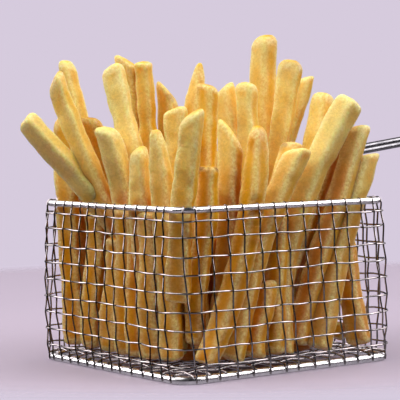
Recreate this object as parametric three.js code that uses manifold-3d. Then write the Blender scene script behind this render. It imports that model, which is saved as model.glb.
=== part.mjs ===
// A square counter basket of woven steel wire with a looped handle, holding a standing heap of french fries.
// Millimetres, +Z up, +X the way the handle points. The origin is the centre of the whole part's footprint,
// on the table. Every shape is worked out in the basket's own frame, whose origin is under the middle of the
// rim, and the finished group is then moved over.
import * as THREE from "three";
import { mergeVertices } from "three/addons/utils/BufferGeometryUtils.js";
import Module from "manifold-3d";

const wasm = await Module();
wasm.setup();

// Basket, measured between the centre lines of its rods
const RIM_LENGTH = 98.5;
const RIM_WIDTH = 96;
const BASE_LENGTH = 101.5;
const BASE_WIDTH = 95.5;
const BASE_SHIFT_X = 1;
const WALL_HEIGHT = 62;
const CORNER_RADIUS = 7;
const RIM_ROD = 2.6;
const BASE_ROD = 3.2;
const ROD_CORNER_STEPS = 4;

// Woven mesh: upright wires outside, hoop wires inside them, two layers of floor wires
const WIRE = 0.7;
const GAP = 0.3;
const FRONT_PITCH = 7.2;
const FRONT_WIRES = 13;
const SIDE_PITCH = 6.4;
const SIDE_WIRES = 14;
const HOOPS = 9;
const FIRST_HOOP = 4.6;
const HOOP_PITCH = 6.5;
const HOOP_CORNER_STEPS = 3;
const FLOOR_PITCH = 7.2;
const FLOOR_WIRES = 14;
const FLOOR_INSET = 2;

// Handle: one rod bent into a long loop, its two legs standing against the wall
const HANDLE_ROD = 2.6;
const HANDLE_SPREAD = 14.6;
const HANDLE_REACH = 86;
const HANDLE_SLOPE = THREE.MathUtils.degToRad(8);
const HANDLE_RISE = 16;
const HANDLE_BEND = 10;
const HANDLE_LEG = 30;
const HANDLE_STEPS = 40;

// Fries. The heap is laid out in ranks that run square to the basket's front corner:
// across is to the right and deep is away, seen from that corner
const RANK_TURN = THREE.MathUtils.degToRad(36.5);
const FRY_CHAMFER = 0.2;
const FRY_STEPS = 4;
const FRY_END_SIZE = 0.86;
const FRY_CLEARANCE = 0.5;
const CORE_LENGTH = 80;
const CORE_WIDTH = 77;
const CORE_BOTTOM = 20;
const CORE_TOP = 46;

// Settling pushes crossing fries apart by shares of the room they lack
const SETTLE_ROUNDS = 60;
const PUSH_DEEP = 0.3;
const PUSH_ACROSS = 0.015;

// Fillers are the shorter fries between the shown ones, drawn at random where there is room
const FILLERS = 24;
const FILLER_ATTEMPTS = 20000;
const FILLER_SPACING = 7.2;
const FILLER_MARGIN = 7;
const FILLER_FRONT = 17;
const FILLER_SPREAD = 0.12;
const FILLER_LEAN = 7;
const FILLER_TOP = [52, 86];
const FILLER_WIDTH = [8, 9.6];
const FILLER_SLANT = 3;
const SEED = 7;

const BASE_LEVEL = BASE_ROD / 2;
const RIM_LEVEL = BASE_LEVEL + WALL_HEIGHT;
const FLOOR_LEVEL = BASE_ROD + GAP;
const FRY_FLOOR = FLOOR_LEVEL + 2 * WIRE + 2 * GAP + 0.2;

const steel = () => new THREE.MeshStandardMaterial({ color: 0xc9cbce, roughness: 0.22, metalness: 1 });
const potato = () => new THREE.MeshStandardMaterial({ color: 0xe3b956, roughness: 0.62, metalness: 0 });

// The shown fries, from left to right. Each row gives its tip (across, deep, height), its foot (across, deep,
// height), its width, how far its middle bows across, the slant of its cut end and how much the end tapers
const SHOWN_FRIES = [
  [-71, -24, 96, -10, 0, 20, 8.8, 0, 1, 0],
  [-61, 2, 86, -57, 7, 6, 8.8, 0, 0, 0],
  [-61, -6, 98, -12, 14, 8, 8.6, 0, 2, 0],
  [-59, -12, 115, -14, -12, 6, 8.8, -3, 3, 0],
  [-57, 6, 121, -26, 6, 6, 8.8, 0, -3, 0.5],
  [-49, -2, 98, -14, -2, 8, 8.6, 0, -2, 0],
  [-46, -9, 60, -49, -5, 6, 8.4, 0, 0, 0],
  [-40, -32, 94, -31, -28, 6, 9.6, 3.5, -1, 0],
  [-38, -20, 51, -41, -16, 6, 8.0, 0, 0, 0],
  [-39, -16, 118, -12, -24, 6, 9.2, 0, 1, 0],
  [-34, -2, 120, -25, 12, 6, 9.0, 0, -2, 0],
  [-28, -42, 86, -24, -38, 6, 9.2, 0, 2, 0.2],
  [-27, 10, 120, -23, 10, 6, 8.6, 0, 0, 0],
  [-21, -50, 93, -16, -49, 6, 9.2, 1, 0, 0.6],
  [-20, 16, 110, 2, 16, 6, 9.4, 0, -6, 0.3],
  [-14, -24, 101, -7, -24, 6, 9.2, 0, 1, 0],
  [-7, -58, 99, -11.5, -57, 29, 9.6, 0, 3, 0],
  [-4, 28, 120, -18, 16, 6, 8.8, 0, 0, 0.8],
  [-2, -46, 79, -7, -46, 12, 8.2, 0, 0, 0],
  [-1, -14, 110, -6, -20, 6, 9.2, 0, -1, 0],
  [7, -42, 93, 2, -45, 6, 9.2, 1, -5, 0],
  [7, 8, 111, 17, -6, 6, 9.2, 0, 3, 0],
  [14, -4, 111, 13, -4, 6, 9.0, 0, 0, 0],
  [18, -34, 93, -4, -51, 6, 9.6, 4.5, 0, 0.2],
  [23, 20, 130, 16, 20, 8, 10.0, 0, 1, 0],
  [33, 6, 120, 11, 0, 6, 9.2, 0, 0, 0],
  [34, -26, 84, 6, -45, 6, 9.6, -3.5, 1, 0],
  [32, -12, 87, -1, -20, 6, 9.0, 0, 1, 0],
  [39, 22, 113, 3, 12, 6, 8.2, 0, 1, 0.2],
  [45, 2, 106, 26, -6, 6, 9.4, 0, 0, 0],
  [54, -10, 104, 27, -30, 6, 9.4, -9, 1, 0.2],
  [54, -6, 102, 19, -18, 8, 9.2, 0, 0, 0],
  [58, -12, 93, 32, -14, 8, 9.2, 0, 2, 0],
  [64, -8, 81, 41, -19, 6, 9.4, -1.7, 4, 0],
  [50, -2, 60, 62, -5, 6, 9.0, 0, 0, 0],
  [48, -12, 12, 50, 14, 10.5, 8.6, 0, 0, 0],
  [37, -4, 11, 24, 34, 10, 8.4, 0, 0, 0],
];

// ---------- small helpers ----------

function random(seed) {
  let state = seed;
  return () => {
    state = (state * 16807) % 2147483647;
    return state / 2147483647;
  };
}

function toSolid(geometry) {
  const bare = geometry.index ? geometry.toNonIndexed() : geometry.clone();
  bare.deleteAttribute("normal");
  bare.deleteAttribute("uv");
  const merged = mergeVertices(bare, 1e-4);
  const vertProperties = new Float32Array(merged.attributes.position.array);
  const triVerts = new Uint32Array(merged.index.array);
  return new wasm.Manifold(new wasm.Mesh({ numProp: 3, vertProperties, triVerts }));
}

function toGeometry(solid) {
  const mesh = solid.getMesh();
  const geometry = new THREE.BufferGeometry();
  geometry.setAttribute("position", new THREE.Float32BufferAttribute(mesh.vertProperties, 3));
  geometry.setIndex([...mesh.triVerts]);
  return geometry;
}

function named(name, geometry, material) {
  const mesh = new THREE.Mesh(geometry, material);
  mesh.name = name;
  return mesh;
}

// ---------- rods and mesh wires ----------

// Adds a rectangle with round corners to a shape or a hole, each corner in a few straight steps
function roundedRectangle(path, length, width, radius, cornerSteps) {
  const centreX = length / 2 - radius;
  const centreY = width / 2 - radius;
  const signs = [[1, 1], [-1, 1], [-1, -1], [1, -1]];
  const points = [];
  signs.forEach(([signX, signY], corner) => {
    for (let i = 0; i <= cornerSteps; i += 1) {
      const angle = (corner + i / cornerSteps) * (Math.PI / 2);
      const x = signX * centreX + radius * Math.cos(angle);
      const y = signY * centreY + radius * Math.sin(angle);
      points.push(new THREE.Vector2(x, y));
    }
  });
  return path.setFromPoints(points);
}

function ringShape(length, width, radius, thickness, cornerSteps) {
  const outline = (path, grow) =>
    roundedRectangle(path, length + grow, width + grow, radius + grow / 2, cornerSteps);
  const shape = outline(new THREE.Shape(), thickness);
  shape.holes.push(outline(new THREE.Path(), -thickness));
  return shape;
}

// A closed rod with an eight-sided section, one flat of it facing down
function rodLoop(length, width, radius, rod) {
  const flat = rod * Math.tan(Math.PI / 8);
  const slope = (rod - flat) / 2;
  const shape = ringShape(length, width, radius, flat, ROD_CORNER_STEPS);
  const bevel = { bevelSegments: 1, bevelSize: slope, bevelThickness: slope };
  const geometry = new THREE.ExtrudeGeometry(shape, { depth: flat, ...bevel });
  geometry.translate(0, 0, -flat / 2);
  return geometry;
}

function hoop(length, width, radius) {
  const shape = ringShape(length, width, radius, WIRE, HOOP_CORNER_STEPS);
  const geometry = new THREE.ExtrudeGeometry(shape, { depth: WIRE, bevelEnabled: false });
  geometry.translate(0, 0, -WIRE / 2);
  return geometry;
}

// Parallel wires joined at both ends by a selvage wire, lying in the XY plane, the wires along Y
function comb(wires, pitch, span) {
  const half = ((wires - 1) * pitch) / 2;
  const plate = toSolid(new THREE.BoxGeometry(2 * half + WIRE, span, WIRE));
  const windows = [];
  for (let i = 0; i < wires - 1; i += 1) {
    const window = new THREE.BoxGeometry(pitch - WIRE, span - 2 * WIRE, 3 * WIRE);
    window.translate(-half + (i + 0.5) * pitch, 0, 0);
    windows.push(toSolid(window));
  }
  return toGeometry(plate.subtract(wasm.Manifold.union(windows)));
}

// How far outside the rods' centre lines the upright wires run, and the hoop wires inside them
const UPRIGHT_OFFSET = BASE_ROD / 2 + GAP + WIRE / 2;
const HOOP_OFFSET = UPRIGHT_OFFSET - WIRE - GAP;

// Length, width and sideways shift of the basket's centre line at a height above the base rod's centre
function sectionAt(height) {
  const share = height / WALL_HEIGHT;
  return {
    length: THREE.MathUtils.lerp(BASE_LENGTH, RIM_LENGTH, share),
    width: THREE.MathUtils.lerp(BASE_WIDTH, RIM_WIDTH, share),
    shift: THREE.MathUtils.lerp(BASE_SHIFT_X, 0, share),
  };
}

function wall(name, wires, pitch, along, outward) {
  const foot = sectionAt(0);
  const head = sectionAt(WALL_HEIGHT);
  const at = (section) => {
    const half = along.x ? section.width / 2 : section.length / 2;
    const point = outward.clone().multiplyScalar(half + UPRIGHT_OFFSET);
    point.x += along.x ? BASE_SHIFT_X / 2 : section.shift;
    return point;
  };
  const low = at(foot).setZ(BASE_LEVEL);
  const high = at(head).setZ(RIM_LEVEL);
  const up = high.clone().sub(low);
  const mesh = named(name, comb(wires, pitch, up.length()), steel());
  const rise = up.clone().normalize();
  const normal = new THREE.Vector3().crossVectors(along, rise).normalize();
  mesh.quaternion.setFromRotationMatrix(new THREE.Matrix4().makeBasis(along, rise, normal));
  mesh.position.copy(low).add(high).multiplyScalar(0.5);
  return mesh;
}

function cornerWire(name, signX, signY) {
  const at = (section, level) => {
    const inset = CORNER_RADIUS - (CORNER_RADIUS + UPRIGHT_OFFSET) * Math.SQRT1_2;
    const x = section.shift + signX * (section.length / 2 - inset);
    const y = signY * (section.width / 2 - inset);
    return new THREE.Vector3(x, y, level);
  };
  const low = at(sectionAt(0), BASE_LEVEL);
  const high = at(sectionAt(WALL_HEIGHT), RIM_LEVEL);
  const run = high.clone().sub(low);
  const mesh = named(name, new THREE.CylinderGeometry(WIRE / 2, WIRE / 2, run.length(), 6), steel());
  mesh.quaternion.setFromUnitVectors(new THREE.Vector3(0, 1, 0), run.normalize());
  mesh.position.copy(low).add(high).multiplyScalar(0.5);
  return mesh;
}

function basket() {
  const group = new THREE.Group();
  const rim = named("rim_rod", rodLoop(RIM_LENGTH, RIM_WIDTH, CORNER_RADIUS, RIM_ROD), steel());
  rim.position.z = RIM_LEVEL;
  const base = named("base_rod", rodLoop(BASE_LENGTH, BASE_WIDTH, CORNER_RADIUS, BASE_ROD), steel());
  base.position.set(BASE_SHIFT_X, 0, BASE_LEVEL);
  group.add(rim, base);

  const alongX = new THREE.Vector3(1, 0, 0);
  const alongY = new THREE.Vector3(0, 1, 0);
  group.add(
    wall("wall_front", FRONT_WIRES, FRONT_PITCH, alongX, new THREE.Vector3(0, -1, 0)),
    wall("wall_back", FRONT_WIRES, FRONT_PITCH, alongX, new THREE.Vector3(0, 1, 0)),
    wall("wall_left", SIDE_WIRES, SIDE_PITCH, alongY, new THREE.Vector3(-1, 0, 0)),
    wall("wall_handle_side", SIDE_WIRES, SIDE_PITCH, alongY, new THREE.Vector3(1, 0, 0)),
  );
  group.add(cornerWire("corner_wire_front_left", -1, -1));
  group.add(cornerWire("corner_wire_front_right", 1, -1));
  group.add(cornerWire("corner_wire_back_left", -1, 1));
  group.add(cornerWire("corner_wire_back_right", 1, 1));

  for (let i = 0; i < HOOPS; i += 1) {
    const height = FIRST_HOOP + i * HOOP_PITCH;
    const { length, width, shift } = sectionAt(height);
    const shape = hoop(length + 2 * HOOP_OFFSET, width + 2 * HOOP_OFFSET, CORNER_RADIUS + HOOP_OFFSET);
    const mesh = named(`hoop_wire_${i + 1}`, shape, steel());
    mesh.position.set(shift, 0, BASE_LEVEL + height);
    group.add(mesh);
  }

  const floorSpan = BASE_WIDTH - 2 * FLOOR_INSET;
  const lower = named("floor_wires_lower", comb(FLOOR_WIRES, FLOOR_PITCH, floorSpan), steel());
  lower.position.set(BASE_SHIFT_X, 0, FLOOR_LEVEL + WIRE / 2);
  const crossSpan = BASE_LENGTH - 2 * FLOOR_INSET;
  const upper = named("floor_wires_upper", comb(FLOOR_WIRES - 1, FLOOR_PITCH, crossSpan), steel());
  upper.rotation.z = Math.PI / 2;
  upper.position.set(BASE_SHIFT_X, 0, FLOOR_LEVEL + 1.5 * WIRE + GAP);
  group.add(lower, upper);
  return group;
}

// ---------- handle ----------

// One leg up the wall, a bend over the rim, the long run out, round the end, and back the same way
function handlePath() {
  const half = HANDLE_SPREAD / 2;
  const out = new THREE.Vector3(Math.cos(HANDLE_SLOPE), 0, Math.sin(HANDLE_SLOPE));
  const legX = RIM_LENGTH / 2 + UPRIGHT_OFFSET + WIRE / 2 + GAP + HANDLE_ROD / 2 + 0.2;
  const lean = (sectionAt(WALL_HEIGHT - HANDLE_LEG).length - RIM_LENGTH) / 2;
  const leanShift = sectionAt(WALL_HEIGHT - HANDLE_LEG).shift;
  const legFoot = new THREE.Vector3(legX + lean + leanShift, 0, RIM_LEVEL - HANDLE_LEG);
  const turn = new THREE.Vector3(legX, 0, RIM_LEVEL + HANDLE_RISE);
  const rise = turn.clone().sub(legFoot).normalize();
  const bendStart = turn.clone().addScaledVector(rise, -HANDLE_BEND);
  const bendEnd = turn.clone().addScaledVector(out, HANDLE_BEND);
  const farStraight = turn.clone().addScaledVector(out, HANDLE_REACH - half);
  const side = (point, y) => point.clone().setY(y);
  const path = new THREE.CurvePath();
  path.add(new THREE.LineCurve3(side(legFoot, -half), side(bendStart, -half)));
  path.add(new THREE.QuadraticBezierCurve3(side(bendStart, -half), side(turn, -half), side(bendEnd, -half)));
  path.add(new THREE.LineCurve3(side(bendEnd, -half), side(farStraight, -half)));
  const tip = farStraight.clone().addScaledVector(out, half);
  const round = 0.5523 * half;
  const beforeTip = side(farStraight, -half).addScaledVector(out, round);
  const afterTip = side(farStraight, half).addScaledVector(out, round);
  path.add(new THREE.CubicBezierCurve3(side(farStraight, -half), beforeTip, side(tip, -round), side(tip, 0)));
  path.add(new THREE.CubicBezierCurve3(side(tip, 0), side(tip, round), afterTip, side(farStraight, half)));
  path.add(new THREE.LineCurve3(side(farStraight, half), side(bendEnd, half)));
  path.add(new THREE.QuadraticBezierCurve3(side(bendEnd, half), side(turn, half), side(bendStart, half)));
  path.add(new THREE.LineCurve3(side(bendStart, half), side(legFoot, half)));
  return path;
}

function handle() {
  const section = new THREE.Shape();
  const radius = HANDLE_ROD / 2;
  for (let i = 0; i < 8; i += 1) {
    const angle = (i * Math.PI) / 4;
    const place = [radius * Math.cos(angle), radius * Math.sin(angle)];
    if (i === 0) section.moveTo(...place);
    else section.lineTo(...place);
  }
  section.closePath();
  const geometry = new THREE.ExtrudeGeometry(section, { steps: HANDLE_STEPS, extrudePath: handlePath() });
  return named("handle", geometry, steel());
}

// ---------- where the fries stand ----------

function fromRanks(across, deep) {
  const cos = Math.cos(RANK_TURN);
  const sin = Math.sin(RANK_TURN);
  return [across * cos + deep * sin, -across * sin + deep * cos];
}

function toRanks(x, y) {
  const cos = Math.cos(RANK_TURN);
  const sin = Math.sin(RANK_TURN);
  return [x * cos - y * sin, x * sin + y * cos];
}

// Holds a point of a fry inside the walls by moving it along its rank's depth
function insideWalls(point, width) {
  const margin = BASE_ROD / 2 + FRY_CLEARANCE + 0.55 * width;
  const cos = Math.cos(RANK_TURN);
  const sin = Math.sin(RANK_TURN);
  const limitX = RIM_LENGTH / 2 - margin;
  const limitY = RIM_WIDTH / 2 - margin;
  const widest = limitX * cos + limitY * sin;
  const across = THREE.MathUtils.clamp(point[0], -widest, widest);
  const near = Math.max((-limitX - across * cos) / sin, (-limitY + across * sin) / cos);
  const far = Math.min((limitX - across * cos) / sin, (limitY + across * sin) / cos);
  point[0] = across;
  point[1] = THREE.MathUtils.clamp(point[1], near, far);
}

function pointAt(fry, share) {
  return [0, 1, 2].map((k) => fry.foot[k] + (fry.tip[k] - fry.foot[k]) * share);
}

// Shares along two straight fries at which they are closest
function closestShares(a, b) {
  const u = new THREE.Vector3(...a.tip).sub(new THREE.Vector3(...a.foot));
  const v = new THREE.Vector3(...b.tip).sub(new THREE.Vector3(...b.foot));
  const w = new THREE.Vector3(...a.foot).sub(new THREE.Vector3(...b.foot));
  const uu = u.dot(u);
  const uv = u.dot(v);
  const vv = v.dot(v);
  const uw = u.dot(w);
  const vw = v.dot(w);
  const spread = uu * vv - uv * uv;
  let s = spread > 1e-6 * uu * vv ? THREE.MathUtils.clamp((uv * vw - vv * uw) / spread, 0, 1) : 0.5;
  const t = THREE.MathUtils.clamp((uv * s + vw) / vv, 0, 1);
  s = THREE.MathUtils.clamp((uv * t - uw) / uu, 0, 1);
  return [s, t];
}

// Pushes crossing fries apart, mostly along the ranks' depth, and keeps each one inside the walls.
// The first few of the list can stand fixed
function settle(fries, fixed = 0) {
  for (let round = 0; round < SETTLE_ROUNDS; round += 1) {
    for (let i = 0; i < fries.length; i += 1) {
      for (let j = Math.max(i + 1, fixed); j < fries.length; j += 1) {
        const a = fries[i];
        const b = fries[j];
        const [s, t] = closestShares(a, b);
        const p = pointAt(a, s);
        const q = pointAt(b, t);
        const away = [q[0] - p[0], q[1] - p[1], q[2] - p[2]];
        const distance = Math.hypot(...away);
        const lack = 0.5 * (a.width + b.width) - distance;
        if (lack <= 0) continue;
        const deep = (away[1] < 0 ? -PUSH_DEEP : PUSH_DEEP) * lack;
        const across = PUSH_ACROSS * lack * Math.sign(away[0]);
        b.foot[0] += across * (1 - t);
        b.foot[1] += deep * (1 - t);
        b.tip[1] += deep * t;
        if (i < fixed) continue;
        a.foot[0] -= across * (1 - s);
        a.foot[1] -= deep * (1 - s);
        a.tip[1] -= deep * s;
      }
    }
    for (const fry of fries.slice(fixed)) {
      insideWalls(fry.foot, fry.width);
      const share = (RIM_LEVEL - fry.foot[2]) / (fry.tip[2] - fry.foot[2]);
      if (share >= 1) {
        insideWalls(fry.tip, fry.width);
        continue;
      }
      const crossing = pointAt(fry, share);
      const kept = [...crossing];
      insideWalls(kept, fry.width);
      const scale = 1 / (share * share + (1 - share) * (1 - share));
      for (const k of [0, 1]) {
        const move = (kept[k] - crossing[k]) * scale;
        fry.tip[k] += move * share;
        fry.foot[k] += move * (1 - share);
      }
    }
  }
  return fries;
}

// Shorter fries that fill the basket between the shown ones
function fillers(shown) {
  const draw = random(SEED);
  const between = ([low, high]) => low + (high - low) * draw();
  const around = (reach) => between([-reach, reach]);
  const added = [];
  for (let attempt = 0; attempt < FILLER_ATTEMPTS && added.length < FILLERS; attempt += 1) {
    const x = between([FILLER_FRONT - RIM_LENGTH / 2, RIM_LENGTH / 2 - FILLER_MARGIN]);
    const y = between([FILLER_FRONT - RIM_WIDTH / 2, RIM_WIDTH / 2 - FILLER_MARGIN]);
    const [across, deep] = toRanks(x, y);
    const leanAcross = FILLER_SPREAD * across + around(FILLER_LEAN);
    const leanDeep = FILLER_SPREAD * deep + around(FILLER_LEAN);
    const tip = [across + leanAcross, deep + leanDeep, between(FILLER_TOP)];
    const foot = [across - leanAcross, deep - leanDeep, FRY_FLOOR + 4 * draw()];
    const width = between(FILLER_WIDTH);
    const fry = { tip, foot, width, bow: around(1), slant: around(FILLER_SLANT), taper: 0 };
    const crowded = [...shown, ...added].some((other) => {
      const [s, t] = closestShares(fry, other);
      const p = pointAt(fry, s);
      const q = pointAt(other, t);
      return Math.hypot(p[0] - q[0], p[1] - q[1], p[2] - q[2]) < FILLER_SPACING;
    });
    if (!crowded) added.push(fry);
  }
  return added;
}

function heap() {
  const shown = SHOWN_FRIES.map((row) => {
    const [a, d, h, footA, footD, footH, width, bow, slant, taper] = row;
    return { tip: [a, d, h], foot: [footA, footD, footH], width, bow, slant, taper };
  });
  settle(shown);
  return settle([...shown, ...fillers(shown)], shown.length);
}

// ---------- one fry ----------

// Each fry is turned about its own length by a different angle, from its place in the list
function turnOf(index) {
  return -RANK_TURN + THREE.MathUtils.degToRad((index * 37) % 90);
}

function frySection(width) {
  const half = width / 2;
  const flat = half - width * FRY_CHAMFER;
  const section = new THREE.Shape();
  section.moveTo(half, -flat);
  section.lineTo(half, flat);
  section.lineTo(flat, half);
  section.lineTo(-flat, half);
  section.lineTo(-half, flat);
  section.lineTo(-half, -flat);
  section.lineTo(-flat, -half);
  section.lineTo(flat, -half);
  section.closePath();
  return section;
}

// A fry of square section with cut corners, built upright and then bowed, leaned over and moved to its foot
function fryGeometry(fry, index) {
  const foot = new THREE.Vector3(...fromRanks(fry.foot[0], fry.foot[1]), fry.foot[2]);
  const tip = new THREE.Vector3(...fromRanks(fry.tip[0], fry.tip[1]), fry.tip[2]);
  const run = tip.clone().sub(foot);
  const length = run.length();
  const geometry = new THREE.ExtrudeGeometry(frySection(fry.width), {
    depth: length,
    steps: FRY_STEPS,
    bevelEnabled: false,
  });
  const turn = turnOf(index);
  const bowX = Math.cos(RANK_TURN);
  const bowY = -Math.sin(RANK_TURN);
  const place = geometry.attributes.position;
  for (let i = 0; i < place.count; i += 1) {
    const share = place.getZ(i) / length;
    const last = share > 1 - 0.5 / FRY_STEPS;
    const nearLast = share > 1 - 1.5 / FRY_STEPS;
    const narrow = last ? FRY_END_SIZE - 0.6 * fry.taper : 1 - (nearLast ? 0.3 * fry.taper : 0);
    const x = place.getX(i) * narrow;
    const y = place.getY(i) * (last ? FRY_END_SIZE : 1);
    const rise = last ? (2 * fry.slant * x) / fry.width : 0;
    const bow = 4 * fry.bow * share * (1 - share);
    const turnedX = x * Math.cos(turn) - y * Math.sin(turn) + bow * bowX;
    const turnedY = x * Math.sin(turn) + y * Math.cos(turn) + bow * bowY;
    place.setXYZ(i, turnedX, turnedY, place.getZ(i) + rise);
  }
  const lean = new THREE.Quaternion().setFromUnitVectors(new THREE.Vector3(0, 0, 1), run.normalize());
  geometry.applyQuaternion(lean);
  geometry.translate(foot.x, foot.y, foot.z);
  return geometry;
}

function box(length, width, low, high) {
  const geometry = new THREE.BoxGeometry(length, width, high - low);
  geometry.translate(0, 0, (low + high) / 2);
  return geometry;
}

// Plan of the room that the walls and rods take up, out to well past them
const WALL_ROOM_DEPTH = 30;

function wallRoom() {
  const inner = BASE_ROD / 2 + GAP;
  const outer = WALL_ROOM_DEPTH;
  const shift = outer - inner;
  const radius = CORNER_RADIUS + shift / 2;
  return ringShape(RIM_LENGTH + shift, RIM_WIDTH + shift, radius, outer + inner, HOOP_CORNER_STEPS);
}

// Core and fries fused into one solid, then trimmed clear of the walls, the rim and the floor
function friesHeap() {
  const core = toSolid(box(CORE_LENGTH, CORE_WIDTH, CORE_BOTTOM, CORE_TOP));
  const pieces = heap().map((fry, index) => toSolid(fryGeometry(fry, index)));
  const fused = wasm.Manifold.union([core, ...pieces]);
  const roomTop = RIM_LEVEL + RIM_ROD / 2 + GAP;
  const keepOut = new THREE.ExtrudeGeometry(wallRoom(), { depth: roomTop, bevelEnabled: false });
  const belowFloor = box(2 * RIM_LENGTH, 2 * RIM_WIDTH, -RIM_LEVEL, FRY_FLOOR);
  const trimmed = fused.subtract(toSolid(keepOut)).subtract(toSolid(belowFloor));
  const parts = trimmed.decompose().sort((a, b) => b.volume() - a.volume());
  return named("fries", toGeometry(parts[0]), potato());
}

const part = new THREE.Group();
part.add(basket(), handle(), friesHeap());

const box3 = new THREE.Box3().setFromObject(part, true);
part.position.set(-(box3.min.x + box3.max.x) / 2, -(box3.min.y + box3.max.y) / 2, -box3.min.z);
part.updateMatrixWorld(true);

export default part;
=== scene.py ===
# %% [markdown]
# # A wire basket of french fries
#
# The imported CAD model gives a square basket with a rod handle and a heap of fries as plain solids.
# This script keeps their places and sizes and makes the things themselves: a woven wire mesh, bent
# and welded rods, and fries with crisp edges and a grained crust. Lengths are written in
# millimetres in the basket's own frame: the origin lies under the middle of the rim and Z is up.

# %% Load the frame
import math

import bmesh
import bpy
from mathutils import Matrix, Vector, noise


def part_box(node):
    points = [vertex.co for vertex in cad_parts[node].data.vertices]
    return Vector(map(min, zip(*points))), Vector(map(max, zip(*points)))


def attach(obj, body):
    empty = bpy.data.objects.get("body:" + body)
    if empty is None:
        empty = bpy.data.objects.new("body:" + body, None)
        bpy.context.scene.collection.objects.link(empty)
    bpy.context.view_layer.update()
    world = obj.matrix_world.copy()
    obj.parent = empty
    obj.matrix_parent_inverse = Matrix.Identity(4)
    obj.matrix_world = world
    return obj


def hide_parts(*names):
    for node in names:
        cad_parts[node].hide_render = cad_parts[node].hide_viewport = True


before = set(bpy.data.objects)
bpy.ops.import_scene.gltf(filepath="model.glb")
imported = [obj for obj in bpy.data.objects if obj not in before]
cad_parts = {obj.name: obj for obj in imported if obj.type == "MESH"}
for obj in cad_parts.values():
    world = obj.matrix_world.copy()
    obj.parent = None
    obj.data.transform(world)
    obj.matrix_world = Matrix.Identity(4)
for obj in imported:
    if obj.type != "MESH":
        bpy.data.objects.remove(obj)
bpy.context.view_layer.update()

MM = 0.001
rim_low, rim_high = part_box("rim_rod")
BASKET_X = (rim_low[0] + rim_high[0]) / 2 / MM
print("nodes:", len(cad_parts), " basket's middle at x =", round(BASKET_X, 3), "mm")

# %% [markdown]
# ## Camera
#
# The camera stands a little above the rim and looks along the basket's diagonal, so two walls show
# and the handle points away to the right. A long lens keeps the rods nearly parallel.

# %% Camera
CAMERA_PLACE = (-0.405040 + BASKET_X * MM, -0.539640, 0.095860)
CAMERA_YAW = math.radians(36.4875)
CAMERA_PITCH = math.radians(2.686)
CAMERA_ROLL = math.radians(-0.822)
LENS, SENSOR_WIDTH = 151.69, 36.0
NEAREST = 0.01


def new_object(name, data):
    """An object in the scene, at the origin."""
    made = bpy.data.objects.new(name, data)
    bpy.context.scene.collection.objects.link(made)
    return made


camera_data = bpy.data.cameras.new("camera")
camera_data.lens, camera_data.sensor_width = LENS, SENSOR_WIDTH
camera_data.clip_start = NEAREST
camera = new_object("camera", camera_data)
ahead = Vector((math.sin(CAMERA_YAW) * math.cos(CAMERA_PITCH),
                math.cos(CAMERA_YAW) * math.cos(CAMERA_PITCH),
                -math.sin(CAMERA_PITCH)))
facing = ahead.to_track_quat("-Z", "Y").to_matrix().to_4x4()
rolled = facing @ Matrix.Rotation(CAMERA_ROLL, 4, "Z")
camera.matrix_world = Matrix.Translation(CAMERA_PLACE) @ rolled
bpy.context.scene.camera = camera
print("camera looks along", [round(a, 3) for a in ahead])

# %% [markdown]
# ## Colours and nodes
#
# Every finish is a small node tree. These helpers add a node and join it up in one line, and turn a
# colour as it is seen on a screen into the linear values that the shader works with.


# %% Node helpers
def linear(red, green, blue):
    """A screen colour, 0 to 255, as linear RGBA."""
    shares = [c / 255 for c in (red, green, blue)]
    return [s / 12.92 if s <= 0.04045 else ((s + 0.055) / 1.055) ** 2.4 for s in shares] + [1.0]


def new_material(name):
    """A material with its nodes and its main shader."""
    material = bpy.data.materials.new(name)
    material.use_nodes = True
    nodes = material.node_tree.nodes
    return material, nodes, nodes["Principled BSDF"]


def feed(value, socket):
    """Joins a node's output to a socket, or sets the socket to a plain value."""
    if isinstance(value, bpy.types.NodeSocket):
        value.id_data.links.new(value, socket)
    else:
        socket.default_value = value


def set_up(node, settings):
    """Feeds a node's sockets by their names."""
    for name, value in settings.items():
        feed(value, node.inputs[name])


def add_noise(nodes, source, per_metre, detail, roughness=0.55):
    """A noise texture on the source coordinates. Its scale is in cells per metre."""
    texture = nodes.new("ShaderNodeTexNoise")
    set_up(texture, {"Vector": source, "Scale": per_metre, "Detail": detail,
                     "Roughness": roughness})
    return texture.outputs["Fac"]


def remap(nodes, source, low, high, to_low=0.0, to_high=1.0):
    """A smooth step: low becomes to_low, high becomes to_high."""
    step = nodes.new("ShaderNodeMapRange")
    step.interpolation_type = "SMOOTHSTEP"
    set_up(step, {"Value": source, "From Min": low, "From Max": high,
                  "To Min": to_low, "To Max": to_high})
    return step.outputs["Result"]


def result(node, *values):
    """Feeds the sockets that a node uses, in their order, and gives back its output."""
    for value, socket in zip(values, [s for s in node.inputs if s.enabled]):
        feed(value, socket)
    return [s for s in node.outputs if s.enabled][0]


def math_node(nodes, operation, *values, kind="ShaderNodeMath"):
    """One sum on numbers, vectors or other nodes' outputs."""
    node = nodes.new(kind)
    node.operation = operation
    return result(node, *values)


def mix_colours(nodes, factor, first, second):
    """From the first colour at a factor of 0 to the second at 1."""
    node = nodes.new("ShaderNodeMix")
    node.data_type = "RGBA"
    return result(node, factor, first, second)


def attribute(nodes, name):
    """A value that is stored on the mesh's points."""
    node = nodes.new("ShaderNodeAttribute")
    node.attribute_name = name
    return node.outputs["Fac"]


print("a mid grey of 128 is", round(linear(128, 128, 128)[0], 3), "in linear light")

# %% [markdown]
# ## Steel
#
# The basket is plated steel: bright thick rods with faint drawing marks, thin mesh wires that are
# darker and mirror more sharply, and a handle whose darker colour is painted shade. All are plain
# metals, so most of their look is what they reflect, and one function makes them.


# %% Steel finishes
MARK_DEPTH, MARKS_PER_PATCH = 0.0001, 8


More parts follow.
